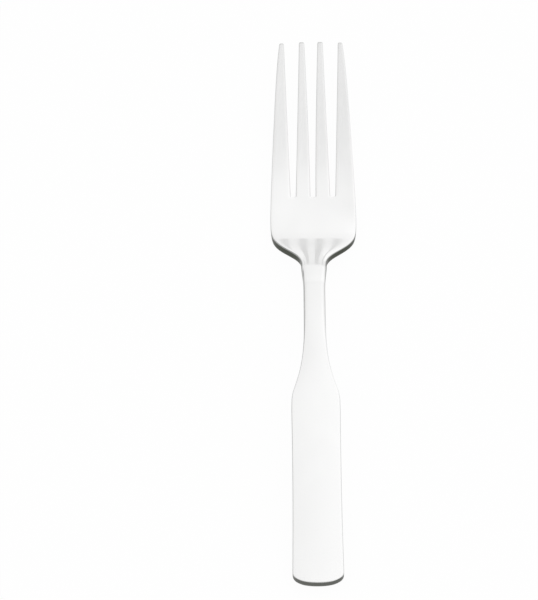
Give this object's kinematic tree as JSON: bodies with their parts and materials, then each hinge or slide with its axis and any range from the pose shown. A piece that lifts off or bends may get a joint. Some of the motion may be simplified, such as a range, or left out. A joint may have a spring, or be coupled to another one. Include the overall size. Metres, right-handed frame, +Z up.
{
  "type": "salad fork",
  "caption": "Polished steel salad fork with slim tapering tines, a flat palm, a sloping heel, a narrow neck and a straight plain handle.",
  "frame": {"origin": "on the table, under the middle of the fork's length and width, with the fork lying on its back", "axes": "+Y from the handle end to the tine tips, +X across the fork, +Z up from the table to the side that faces the user"},
  "size_m": [0.0248, 0.174, 0.0124],
  "materials": {
    "polished_steel": "mirror-polished stainless steel with faint polishing lines"
  },
  "bodies": {
    "root": {"handle": "polished_steel", "neck": "polished_steel", "heel": "polished_steel", "palm": "polished_steel", "tine_outer_left": "polished_steel", "tine_inner_left": "polished_steel", "tine_inner_right": "polished_steel", "tine_outer_right": "polished_steel"}
  },
  "joints": []
}
